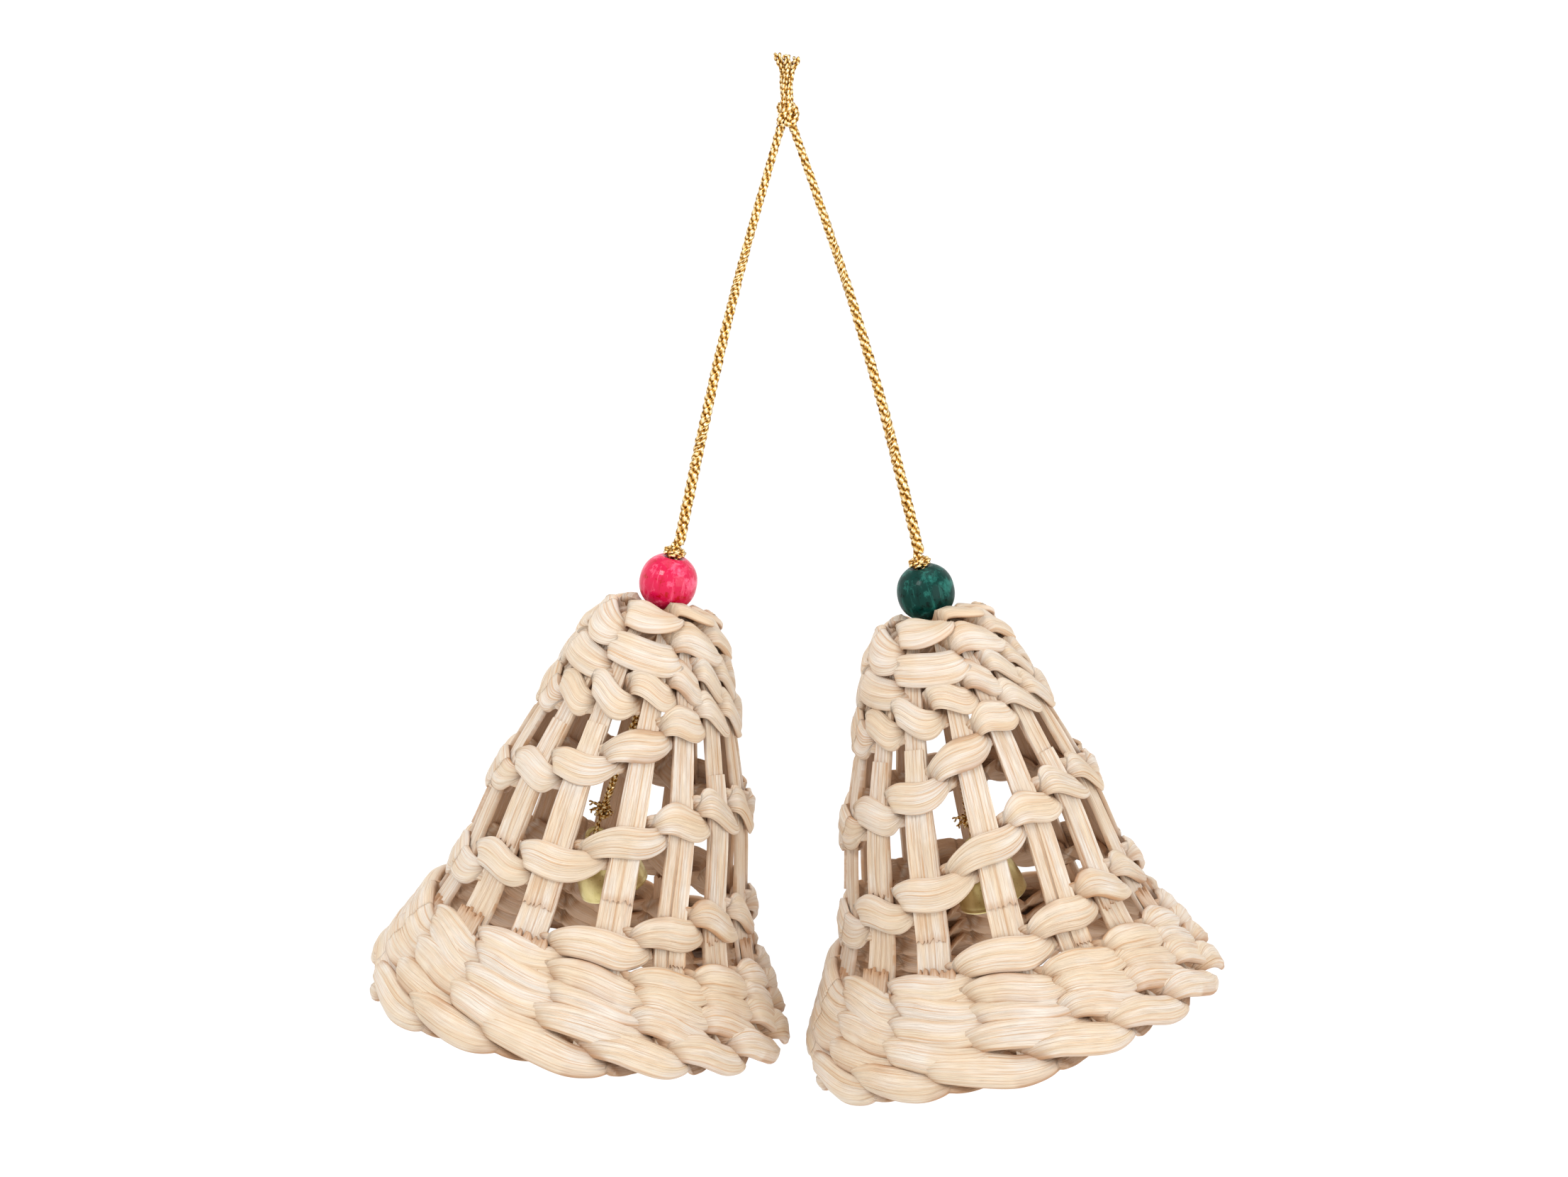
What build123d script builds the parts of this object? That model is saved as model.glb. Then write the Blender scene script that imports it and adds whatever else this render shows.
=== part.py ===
"""Pair of twined straw bells on gold cords, with wooden beads and a small brass chime inside each.

Frame: millimetres, +Z up, +X right, +Y away from the front. The origin is the fork where the two
hanger cords leave the top knot. Each bell is drawn upright, with its own origin at the middle of the
crown and its axis down -Z, and is then leant outwards about Y to where it hangs.
"""

import os
from math import cos, hypot, pi, radians, sin

from build123d import *

# ---- Straw wall: the middle of its thickness, as (radius, height), from the tucked tips to the hem ----
TIP_POINTS = [(2.2, -4.2), (2.7, -1.3)]
WALL_POINTS = [
    (3.6, -0.6), (7.5, -1.3), (10.0, -3.9), (13.2, -10.3), (16.0, -17.1), (21.7, -33.5),
    (25.6, -50.8), (28.6, -59.0), (31.0, -64.0), (33.6, -68.6), (35.2, -72.6), (35.7, -76.3),
]

# ---- Stakes: angle of each round the bell, 0 at the front and 90 to the right ----
STAKE_ANGLES = [-76, -50, -25, 5, 29, 51, 73, 97, 124, 152, 180, 208, 235, 260]
STAKE_THICKNESS = 0.7
STAKE_WIDEST = 7.0
STAKE_SHARE_OF_GAP = 0.54
STAKE_PAST_HEM = 1.2
SHORTEST_STEP = 0.1
TIP_WIDTH = 0.55

# ---- Weave: one rising spiral of paired strips; the wall distance below the crown hole of each turn ----
TURN_STARTS = [82.8, 79.3, 75.4, 71.5, 67.7, 57.2, 39.5, 22.1, 14.3, 8.0, 2.8]
TURN_NAMES = (
    [f"rim_weave_{i}" for i in range(1, 5)]
    + [f"open_weave_{i}" for i in range(1, 4)]
    + [f"crown_weave_{i}" for i in range(1, 4)]
)
RISE_AT_STAKE = [0, 0.25, 0.42, 0.8, 1.08, 1.18, 1.12, 1.03, 1, 1, 1, 1, 1, 1]
HEM_RISE_AT_STAKE = [0, 0.12, 0.35, 0.75, 1.0, 1.1, 1.08, 1.02, 1, 1, 1, 1, 1, 1]
FIRST_TURN_OVER_PAIRS = 8
LAST_RIM_TURN = 3
FREE_SHARE_OF_BAND = 0.97
FREE_SHARE_ON_SHOULDER = 0.8
FREE_SHARE_ON_TOP = 0.7
RIM_STRIP_THICKNESS = 2.2
STRIP_THICKNESS = 1.1
STRIP_CLEARANCE = 0.38
WIDEST_BAND = 6.6
HEIGHT_OVER_STAKE = 0.86
HEIGHT_BESIDE_STAKE = 0.52
HEIGHT_AT_CROSSING = 0.34
SLOPE_OF_BAND = 0.27
HOLD_SINGLE = 0.30
HOLD_PAIR = 0.42

# ---- Beads, cords and knots ----
BEAD_RADIUS = 5.1
BEAD_HALF_HEIGHT = 4.6
BEAD_BORE = 1.25
CORD_RADIUS = 0.8
CORE_RADIUS = 0.9
INNER_CORD_RADIUS = 0.7
KNOT_RING_RADIUS = 1.3
KNOT_WIRE_RADIUS = 0.65
KNOT_PLUG_HALF_HEIGHT = 0.8 * KNOT_WIRE_RADIUS
REST_GAP = 0.25
JOINT_GAP = 0.1
OUTER_BEAD_HEIGHT = 5.2
INNER_BEAD_HEIGHT = -9.1
STOPPER_HEIGHT = OUTER_BEAD_HEIGHT + BEAD_HALF_HEIGHT + REST_GAP + KNOT_WIRE_RADIUS
INNER_KNOT_HEIGHT = INNER_BEAD_HEIGHT - BEAD_HALF_HEIGHT - REST_GAP - KNOT_WIRE_RADIUS
INNER_HINGE_HEIGHT = INNER_KNOT_HEIGHT - KNOT_WIRE_RADIUS - JOINT_GAP - INNER_CORD_RADIUS
TOP_KNOT_WIDTH = 4.3
TOP_KNOT_DEPTH = 3.6
TOP_KNOT_BOTTOM = -0.5
TOP_KNOT_TOP = 3.4
CORD_END_RADIUS = 0.6
CORD_ENDS = [
    ((-1.1, -0.5), (-1.7, -0.9, 11.5)),
    ((0.0, -1.1), (-0.1, -1.5, 11.3)),
    ((1.1, -0.4), (1.7, -0.6, 10.8)),
    ((0.2, 0.8), (0.3, 1.2, 9.8)),
]

# ---- Chime: heights above its lip ----
CHIME_OUTSIDE = [(6.3, 0), (6.15, 2.0), (5.8, 4.0), (5.2, 6.0), (4.0, 7.6), (2.0, 8.3)]
CHIME_HEIGHT = 8.4
CHIME_WALL = 0.6
EYE_RING_RADIUS = 1.5
EYE_WIRE_RADIUS = 0.4
LOOP_RING_RADIUS = 1.5
LOOP_WIRE_RADIUS = 0.4
STAPLE_RING_RADIUS = 0.9
STAPLE_WIRE_RADIUS = 0.25
CLAPPER_RING_RADIUS = 0.9
CLAPPER_WIRE_RADIUS = 0.25
CLAPPER_BALL_RADIUS = 1.6
CLAPPER_BALL_HEIGHT = 1.5
CHIME_KNOT_RADIUS = 1.7
CHIME_KNOT_HALF_HEIGHT = 0.8 * CHIME_KNOT_RADIUS
EYE_CENTRE = CHIME_HEIGHT + EYE_RING_RADIUS + EYE_WIRE_RADIUS
CHIME_HINGE = EYE_CENTRE + EYE_RING_RADIUS - EYE_WIRE_RADIUS - JOINT_GAP - LOOP_WIRE_RADIUS
STAPLE_CENTRE = CHIME_HEIGHT - CHIME_WALL - STAPLE_RING_RADIUS - STAPLE_WIRE_RADIUS
CLAPPER_HINGE = STAPLE_CENTRE - STAPLE_RING_RADIUS + STAPLE_WIRE_RADIUS + JOINT_GAP + CLAPPER_WIRE_RADIUS

# ---- Where each side hangs: outer bead centre (x, z), lean of the bell, cord route and chime ----
SIDES = {
    "left": {
        "bead": (-20.9, -82.2),
        "lean": 12.0,
        "route": [(-1.1, -1.5), (-7.0, -22.0), (-11.7, -41.0), (-15.6, -59.0), (-19.0, -75.4)],
        "chime_hinge": (-34.1, -2.1, -127.4),
        "chime_up": (-3.2, -2.1, 9.7),
    },
    "right": {
        "bead": (24.5, -84.0),
        "lean": -12.0,
        "route": [(1.1, -1.5), (7.9, -21.0), (13.9, -40.0), (19.0, -59.0), (23.3, -76.9)],
        "chime_hinge": (33.1, -1.6, -129.5),
        "chime_up": (-3.6, -1.6, 9.7),
    },
}


# ---- Straw wall geometry ----
def unit(vector):
    """The vector at length 1."""
    length = hypot(*vector)
    return tuple(part / length for part in vector)


def wall_table():
    """For each wall point: its distance from the crown hole, its place, and the wall's outward normal."""
    points = TIP_POINTS + WALL_POINTS
    steps = [(b[0] - a[0], b[1] - a[1]) for a, b in zip(points, points[1:])]
    distance = [0.0]
    for step in steps:
        distance.append(distance[-1] + hypot(*step))
    start = distance[len(TIP_POINTS)]
    table = []
    for i, point in enumerate(points):
        before = unit(steps[max(i - 1, 0)])
        after = unit(steps[min(i, len(steps) - 1)])
        along = unit((before[0] + after[0], before[1] + after[1]))
        table.append((distance[i] - start, point, (-along[1], along[0])))
    return table


WALL = wall_table()


def wall_at(distance):
    """The wall's (radius, height) and outward normal at a distance down it from the crown hole."""
    for (d0, p0, n0), (d1, p1, n1) in zip(WALL, WALL[1:]):
        if distance <= d1:
            break
    t = (distance - d0) / (d1 - d0)
    point = tuple(a + (b - a) * t for a, b in zip(p0, p1))
    normal = unit(tuple(a + (b - a) * t for a, b in zip(n0, n1)))
    return point, normal


def wall_plane(angle, distance, outward):
    """The upright plane across the weave at an angle round the bell, its X along the wall's normal."""
    (radius, height), (normal_r, normal_z) = wall_at(distance)
    radius += outward * normal_r
    height += outward * normal_z
    a = radians(angle)
    origin = (radius * sin(a), -radius * cos(a), height)
    across = (normal_r * sin(a), -normal_r * cos(a), normal_z)
    return Plane(origin=origin, x_dir=across, z_dir=(cos(a), sin(a), 0))


def between(values, last, u):
    """A value at stake number u, straight between whole stakes; last closes the turn."""
    closed = values + [last]
    i = min(int(u), len(values) - 1)
    return closed[i] + (closed[i + 1] - closed[i]) * (u - i)


def stake_angle(u):
    return between(STAKE_ANGLES, STAKE_ANGLES[0] + 360, u)


def turn_distance(turn, u):
    """How far down the wall the middle of a turn lies at stake number u."""
    start, end = TURN_STARTS[turn], TURN_STARTS[turn + 1]
    rises = HEM_RISE_AT_STAKE if turn == 0 else RISE_AT_STAKE
    return start + (end - start) * between(rises, 1, u)


def band(turn, u):
    """The height free to a turn at stake number u, between its neighbours above and below."""
    free = [WIDEST_BAND]
    if turn > 0:
        free.append(turn_distance(turn - 1, u) - turn_distance(turn, u))
    if turn < len(TURN_NAMES) - 1:
        free.append(turn_distance(turn, u) - turn_distance(turn + 1, u))
    share = FREE_SHARE_ON_SHOULDER if turn >= FIRST_TURN_OVER_PAIRS else FREE_SHARE_OF_BAND
    if turn == len(TURN_NAMES) - 1:
        share = FREE_SHARE_ON_TOP
    return share * min(free)


# ---- Straw pieces ----
def strip_sections(turn, strand):
    """Each section of one strip of a turn: its plane, thickness and height."""
    count = len(STAKE_ANGLES)
    over_pairs = turn >= FIRST_TURN_OVER_PAIRS
    hold = HOLD_PAIR if over_pairs else HOLD_SINGLE
    step = 2 if over_pairs else 1
    centre = 0.5 if over_pairs else 0
    done = (turn - FIRST_TURN_OVER_PAIRS) * count // 2 if over_pairs else 0
    thickness = RIM_STRIP_THICKNESS if turn <= LAST_RIM_TURN else STRIP_THICKNESS
    offset = (thickness + STAKE_THICKNESS) / 2 + STRIP_CLEARANCE
    lobes = count // step
    shares = [0, hold, 0.5, 1 - hold] + [hold / 2, 1 - hold / 2] * over_pairs
    stations = {0.0, float(count)}
    for lobe in range(-1, lobes + 1):
        for share in shares:
            stations.add(min(max(centre + (lobe + share) * step, 0.0), float(count)))
    sections = []
    for u in sorted(stations):
        v = (u - centre) / step + done + strand
        from_outside = abs((v + 1) % 2 - 1)
        from_stake = min(from_outside, 1 - from_outside)
        side = min(max((0.5 - from_outside) / (0.5 - hold), -1), 1)
        free = band(turn, u)
        if from_stake <= hold:
            t = from_stake / hold
            height = HEIGHT_OVER_STAKE + (HEIGHT_BESIDE_STAKE - HEIGHT_OVER_STAKE) * t
        else:
            t = (from_stake - hold) / (0.5 - hold)
            height = HEIGHT_BESIDE_STAKE + (HEIGHT_AT_CROSSING - HEIGHT_BESIDE_STAKE) * t
        distance = turn_distance(turn, u) + SLOPE_OF_BAND * free * sin(pi * v)
        sections.append((wall_plane(stake_angle(u), distance, side * offset), thickness, height * free))
    return sections


def weave_turn(turn):
    """One turn of twining: two strips that pass in front of and behind the stakes by turns."""
    strips = []
    for strand in (0, 1):
        with BuildPart() as strip:
            for plane, thickness, height in strip_sections(turn, strand):
                with BuildSketch(plane):
                    Rectangle(thickness, height)
            loft(ruled=True)
        strips.append(strip.part.solid())
    return Compound(children=strips)


def stake_width(number, radius):
    """A stake's width where the wall has this radius."""
    angle = STAKE_ANGLES[number]
    gap_before = (angle - STAKE_ANGLES[number - 1]) % 360
    gap_after = (STAKE_ANGLES[(number + 1) % len(STAKE_ANGLES)] - angle) % 360
    free = radians(min(gap_before, gap_after)) * radius * STAKE_SHARE_OF_GAP
    return min(STAKE_WIDEST, max(free, TIP_WIDTH))


def stakes():
    """The upright straw ribs, from the tips tucked through the crown to the hem."""
    ribs = []
    for number, angle in enumerate(STAKE_ANGLES):
        a = radians(angle)
        hem = turn_distance(0, number) + STAKE_PAST_HEM
        along = [distance for distance, _, _ in WALL if distance < hem - SHORTEST_STEP] + [hem]
        with BuildPart() as rib:
            for distance in along:
                (radius, height), (normal_r, normal_z) = wall_at(distance)
                across = (normal_r * sin(a), -normal_r * cos(a), normal_z)
                down = (-normal_z * sin(a), normal_z * cos(a), normal_r)
                origin = (radius * sin(a), -radius * cos(a), height)
                with BuildSketch(Plane(origin=origin, x_dir=across, z_dir=down)):
                    Rectangle(STAKE_THICKNESS, stake_width(number, radius))
            loft(ruled=True)
        ribs.append(rib.part.solid())
    return Compound(children=ribs)


# ---- Beads, knots and cords ----
def bead(height):
    """A turned wooden bead with a cord hole, flattened a little at the hole's ends."""
    with BuildPart() as turned:
        with Locations((0, 0, height)):
            Sphere(BEAD_RADIUS)
        split(bisect_by=Plane.XY.offset(height + BEAD_HALF_HEIGHT), keep=Keep.BOTTOM)
        split(bisect_by=Plane.XY.offset(height - BEAD_HALF_HEIGHT), keep=Keep.TOP)
        with Locations((0, 0, height)):
            Hole(BEAD_BORE)
    return turned.part


def ring_knot(height):
    """A flat knot of cord: a ring drawn tight round its own cord."""
    with BuildPart() as knot:
        with Locations((0, 0, height)):
            Torus(KNOT_RING_RADIUS, KNOT_WIRE_RADIUS)
            Cylinder(KNOT_RING_RADIUS, 2 * KNOT_PLUG_HALF_HEIGHT)
    return knot.part


def core_cord():
    """The cord inside the beads and crown, from the stopper knot to the knot under the inner bead."""
    top = STOPPER_HEIGHT - KNOT_PLUG_HALF_HEIGHT
    bottom = INNER_KNOT_HEIGHT + KNOT_PLUG_HALF_HEIGHT
    with BuildPart() as core:
        with BuildSketch(Plane.XY.offset(bottom)):
            Circle(CORE_RADIUS)
        extrude(amount=top - bottom)
    return core.part


def hanger_cord(route):
    """The cord from the top knot to the stopper knot, with a round end at each hinge."""
    points = [(x, 0, z) for x, z in route]
    radii = []
    for before, corner, after in zip(points, points[1:], points[2:]):
        first, second = Vector(*corner) - Vector(*before), Vector(*after) - Vector(*corner)
        turn = radians(first.get_angle(second))
        radii.append(0.45 * min(first.length, second.length) / (sin(turn / 2) / cos(turn / 2)))
    print("hanger cord radii", [round(r) for r in radii])
    with BuildPart() as cord:
        with BuildLine() as path:
            FilletPolyline(*points, radius=radii)
        start = Vector(*points[1]) - Vector(*points[0])
        with BuildSketch(Plane(origin=points[0], z_dir=start)):
            Circle(CORD_RADIUS)
        sweep(path=path.wires()[0])
        with Locations(points[0], points[-1]):
            Sphere(CORD_RADIUS)
    return cord.part


def top_knot():
    """The overhand knot that gathers both cords."""
    middle = (TOP_KNOT_BOTTOM + TOP_KNOT_TOP) / 2
    half = (TOP_KNOT_TOP - TOP_KNOT_BOTTOM) / 2
    with BuildPart() as knot:
        with BuildSketch(Plane.XY.offset(TOP_KNOT_BOTTOM)):
            Ellipse(0.30 * TOP_KNOT_WIDTH, 0.30 * TOP_KNOT_DEPTH)
        with BuildSketch(Plane.XY.offset(middle - 0.45 * half)):
            Ellipse(0.5 * TOP_KNOT_WIDTH, 0.5 * TOP_KNOT_DEPTH)
        with BuildSketch(Plane.XY.offset(middle + 0.45 * half)):
            Ellipse(0.5 * TOP_KNOT_WIDTH, 0.5 * TOP_KNOT_DEPTH)
        with BuildSketch(Plane.XY.offset(TOP_KNOT_TOP)):
            Ellipse(0.42 * TOP_KNOT_WIDTH, 0.42 * TOP_KNOT_DEPTH)
        loft()
    return knot.part


def cord_ends():
    """The four cut ends of the two folded cords, standing up out of the top knot."""
    ends = []
    for (x, y), tip in CORD_ENDS:
        foot = Vector(x, y, TOP_KNOT_TOP)
        along = Vector(*tip) - foot
        with BuildPart() as end:
            with BuildSketch(Plane(origin=foot, z_dir=along)):
                Circle(CORD_END_RADIUS)
            extrude(amount=along.length, taper=1)
            split(bisect_by=Plane.XY.offset(TOP_KNOT_TOP), keep=Keep.TOP)
        ends.append(end.part.solid())
    return Compound(children=ends)


def inner_cord(hinge, end):
    """The cord from the inner knot to the chime's knot, with a round end at the hinge."""
    along = Vector(*end) - Vector(*hinge)
    length = along.length - 2 * (LOOP_RING_RADIUS + CHIME_KNOT_HALF_HEIGHT)
    with BuildPart() as cord:
        with BuildSketch(Plane(origin=hinge, z_dir=along)):
            Circle(INNER_CORD_RADIUS)
        extrude(amount=length)
        with Locations(hinge):
            Sphere(INNER_CORD_RADIUS)
    return cord.part


def chime_knot():
    """The knot above the chime and the cord loop below it, upright with the loop's lowest point at 0."""
    middle = 2 * LOOP_RING_RADIUS + CHIME_KNOT_HALF_HEIGHT
    with BuildPart() as knot:
        with Locations(Location((0, 0, LOOP_RING_RADIUS), (0, 90, 0))):
            Torus(LOOP_RING_RADIUS, LOOP_WIRE_RADIUS)
        with Locations((0, 0, middle)):
            Sphere(CHIME_KNOT_RADIUS)
        split(bisect_by=Plane.XY.offset(middle + CHIME_KNOT_HALF_HEIGHT), keep=Keep.BOTTOM)
    return knot.part


# ---- Chime ----
def chime_shell():
    """The brass bell: a thin turned shell, open at the lip, with a hole for its wire eye."""
    top = [(0, CHIME_HEIGHT)]
    inside = [(r - CHIME_WALL, h - CHIME_WALL * (h > 7)) for r, h in CHIME_OUTSIDE]
    with BuildPart() as shell:
        with BuildSketch(Plane.XZ):
            with BuildLine():
                Spline(*CHIME_OUTSIDE, *top, tangents=[(-0.05, 1), (-1, 0)])
                Line(top[0], (0, CHIME_HEIGHT - CHIME_WALL))
                Spline((0, CHIME_HEIGHT - CHIME_WALL), *inside[::-1], tangents=[(1, 0), (0.05, -1)])
                Line(inside[0], CHIME_OUTSIDE[0])
            make_face()
        revolve(axis=Axis.Z)
        with Locations((0, 0, CHIME_HEIGHT)):
            Hole(EYE_WIRE_RADIUS)
    return shell.part


def chime_eye():
    """The bent wire through the chime's crown: a ring above for the cord, a ring below for the clapper."""
    stem = CHIME_HEIGHT - CHIME_WALL / 2
    with BuildPart() as wire:
        with Locations(Location((0, 0, EYE_CENTRE), (90, 0, 0))):
            Torus(EYE_RING_RADIUS, EYE_WIRE_RADIUS)
        with Locations(Location((0, 0, STAPLE_CENTRE), (90, 0, 0))):
            Torus(STAPLE_RING_RADIUS, STAPLE_WIRE_RADIUS)
        with Locations((0, 0, stem)):
            Cylinder(EYE_WIRE_RADIUS, 2 * CHIME_WALL)
    return wire.part


def clapper():
    """The clapper: a wire ring in the staple, a rod and a round weight."""
    ring = CLAPPER_HINGE - CLAPPER_RING_RADIUS
    rod_top = ring - CLAPPER_RING_RADIUS
    with BuildPart() as hung:
        with Locations(Location((0, 0, ring), (0, 90, 0))):
            Torus(CLAPPER_RING_RADIUS, CLAPPER_WIRE_RADIUS)
        with BuildSketch(Plane.XY.offset(CLAPPER_BALL_HEIGHT)):
            Circle(2 * CLAPPER_WIRE_RADIUS)
        extrude(amount=rod_top - CLAPPER_BALL_HEIGHT)
        with Locations((0, 0, CLAPPER_BALL_HEIGHT)):
            Sphere(CLAPPER_BALL_RADIUS)
    return hung.part


# ---- Placing and writing ----
def leaning(side):
    """Where a bell drawn upright goes: leant about Y, with its outer bead on the side's bead centre."""
    x, z = side["bead"]
    lean = radians(side["lean"])
    crown = (x - OUTER_BEAD_HEIGHT * sin(lean), 0, z - OUTER_BEAD_HEIGHT * cos(lean))
    return Location(crown, (0, side["lean"], 0))


def standing_at(point, height, up):
    """Where a piece drawn upright goes, for the point at this height on its axis to be at point, its Z up."""
    up = Vector(*up).normalized()
    return Plane(origin=Vector(*point) - up * height, x_dir=Vector(0, 1, 0).cross(up), z_dir=up).location


def write(piece, name):
    piece.label = name
    export_step(piece, f"parts/{name}.step")


os.makedirs("parts", exist_ok=True)

turns = [weave_turn(turn) for turn in range(len(TURN_NAMES))]
ribs_of_one_bell = stakes()
outer_bead = bead(OUTER_BEAD_HEIGHT)
inner_bead = bead(INNER_BEAD_HEIGHT)
stopper_knot = ring_knot(STOPPER_HEIGHT)
inner_knot = ring_knot(INNER_KNOT_HEIGHT)
core = core_cord()
knot_and_loop = chime_knot()
shell = chime_shell()
eye = chime_eye()
striker = clapper()

write(top_knot(), "top_knot")
write(cord_ends(), "cord_ends")

for name, side in SIDES.items():
    bell = leaning(side)
    for turn_name, turn in zip(TURN_NAMES, turns):
        write(turn.moved(bell), f"{name}_{turn_name}")
    write(ribs_of_one_bell.moved(bell), f"{name}_stakes")
    write(outer_bead.moved(bell), f"{name}_outer_bead")
    write(inner_bead.moved(bell), f"{name}_inner_bead")
    write(stopper_knot.moved(bell), f"{name}_stopper_knot")
    write(inner_knot.moved(bell), f"{name}_inner_knot")
    write(core.moved(bell), f"{name}_core_cord")
    write(hanger_cord(side["route"]), f"{name}_hanger_cord")
    inner_hinge = tuple((bell * Location((0, 0, INNER_HINGE_HEIGHT))).position)
    chime_hinge = side["chime_hinge"]
    write(inner_cord(inner_hinge, chime_hinge), f"{name}_inner_cord")
    up_the_cord = Vector(*inner_hinge) - Vector(*chime_hinge)
    write(knot_and_loop.moved(standing_at(chime_hinge, 0, up_the_cord)), f"{name}_chime_knot")
    chime = standing_at(chime_hinge, CHIME_HINGE, side["chime_up"])
    write(shell.moved(chime), f"{name}_chime_shell")
    write(eye.moved(chime), f"{name}_chime_eye")
    write(striker.moved(chime), f"{name}_chime_clapper")
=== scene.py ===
"""Looks for the pair of twined straw bells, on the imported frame: straw, cord, beads and brass."""

from math import atan2, ceil, cos, floor, hypot, pi, radians, sin
import bpy
from mathutils import Matrix, Vector, noise


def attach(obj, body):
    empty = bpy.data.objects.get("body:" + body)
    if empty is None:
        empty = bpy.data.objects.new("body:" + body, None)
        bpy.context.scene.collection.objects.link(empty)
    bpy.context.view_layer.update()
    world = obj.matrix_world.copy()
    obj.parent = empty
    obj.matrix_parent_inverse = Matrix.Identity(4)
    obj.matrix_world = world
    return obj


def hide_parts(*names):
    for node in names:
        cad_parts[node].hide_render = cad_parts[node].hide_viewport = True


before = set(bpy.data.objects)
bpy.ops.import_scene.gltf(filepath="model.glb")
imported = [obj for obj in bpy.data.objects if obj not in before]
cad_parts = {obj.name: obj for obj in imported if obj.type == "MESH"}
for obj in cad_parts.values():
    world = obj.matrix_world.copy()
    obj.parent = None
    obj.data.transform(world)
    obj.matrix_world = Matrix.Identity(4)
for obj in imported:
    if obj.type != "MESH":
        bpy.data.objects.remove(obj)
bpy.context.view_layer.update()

MM = 0.001

# ---- Straw wall, stakes and weave: the same numbers as the CAD ----
TIP_POINTS = [(2.2, -4.2), (2.7, -1.3)]
WALL_POINTS = [
    (3.6, -0.6), (7.5, -1.3), (10.0, -3.9), (13.2, -10.3), (16.0, -17.1), (21.7, -33.5),
    (25.6, -50.8), (28.6, -59.0), (31.0, -64.0), (33.6, -68.6), (35.2, -72.6), (35.7, -76.3),
]
STAKE_ANGLES = [-76, -50, -25, 5, 29, 51, 73, 97, 124, 152, 180, 208, 235, 260]
TURN_STARTS = [82.8, 79.3, 75.4, 71.5, 67.7, 57.2, 39.5, 22.1, 14.3, 8.0, 2.8]
TURN_NAMES = (
    [f"rim_weave_{i}" for i in range(1, 5)]
    + [f"open_weave_{i}" for i in range(1, 4)]
    + [f"crown_weave_{i}" for i in range(1, 4)]
)
RISE_AT_STAKE = [0, 0.25, 0.42, 0.8, 1.08, 1.18, 1.12, 1.03, 1, 1, 1, 1, 1, 1]
HEM_RISE_AT_STAKE = [0, 0.12, 0.35, 0.75, 1.0, 1.1, 1.08, 1.02, 1, 1, 1, 1, 1, 1]
FIRST_TURN_OVER_PAIRS = 8
LAST_RIM_TURN = 3
LOWEST_OPEN_DROP = 3.0      # how far the lowest open turn hangs down where it starts
STAKES = len(STAKE_ANGLES)
TURNS = len(TURN_NAMES)

SIDES = {
    "left": {
        "bead": (-20.9, -82.2),
        "lean": 12.0,
        "route": [(-1.1, -1.5), (-7.0, -22.0), (-11.7, -41.0), (-15.6, -59.0), (-19.0, -75.4)],
        "chime_hinge": (-34.1, -2.1, -127.4),
        "chime_up": (-3.2, -2.1, 9.7),
        "stain": "red",
    },
    "right": {
        "bead": (24.5, -84.0),
        "lean": -12.0,
        "route": [(1.1, -1.5), (7.9, -21.0), (13.9, -40.0), (19.0, -59.0), (23.3, -76.9)],
        "chime_hinge": (33.1, -1.6, -129.5),
        "chime_up": (-3.6, -1.6, 9.7),
        "stain": "green",
    },
}


# ---- Small helpers ----
def clamp(x, low=0.0, high=1.0):
    return min(max(x, low), high)


def smooth(x):
    x = clamp(x)
    return x * x * (3 - 2 * x)


def rough(x, y=0.0, z=0.0):
    """Smooth noise from about -1 to 1."""
    return noise.noise(Vector((x, y, z)))


def curve_through(knots, values):
    """A smooth function through values at rising knots."""
    slopes = []
    for i in range(len(knots)):
        a, b = max(i - 1, 0), min(i + 1, len(knots) - 1)
        slopes.append((values[b] - values[a]) / (knots[b] - knots[a]))

    def at(x):
        i = 0
        while i < len(knots) - 2 and x > knots[i + 1]:
            i += 1
        h = knots[i + 1] - knots[i]
        t = (x - knots[i]) / h
        a, b = values[i], values[i + 1]
        m, n = slopes[i] * h, slopes[i + 1] * h
        if t < 0 or t > 1:
            return a + (x - knots[i]) * slopes[i] if t < 0 else b + (x - knots[i + 1]) * slopes[i + 1]
        return (
            (2 * t**3 - 3 * t**2 + 1) * a + (t**3 - 2 * t**2 + t) * m
            + (3 * t**2 - 2 * t**3) * b + (t**3 - t**2) * n
        )

    return at


def wall_functions():
    points = TIP_POINTS + WALL_POINTS
    knots = [0.0]
    for a, b in zip(points, points[1:]):
        knots.append(knots[-1] + hypot(b[0] - a[0], b[1] - a[1]))
    start = knots[len(TIP_POINTS)]
    knots = [k - start for k in knots]
    radius = curve_through(knots, [p[0] for p in points])
    height = curve_through(knots, [p[1] for p in points])
    return radius, height, knots


WALL_RADIUS, WALL_HEIGHT, WALL_KNOTS = wall_functions()


def wall_frame(angle, distance):
    """A point of the wall, its outward normal, downward tangent and rightward direction, in mm."""
    step = 0.25
    r, z = WALL_RADIUS(distance), WALL_HEIGHT(distance)
    dr = WALL_RADIUS(distance + step) - WALL_RADIUS(distance - step)
    dz = WALL_HEIGHT(distance + step) - WALL_HEIGHT(distance - step)
    length = hypot(dr, dz)
    dr, dz = dr / length, dz / length
    a = radians(angle)
    s, c = sin(a), -cos(a)
    return (
        Vector((r * s, r * c, z)),
        Vector((-dz * s, -dz * c, dr)),
        Vector((dr * s, dr * c, dz)),
        Vector((cos(a), sin(a), 0)),
    )


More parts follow.
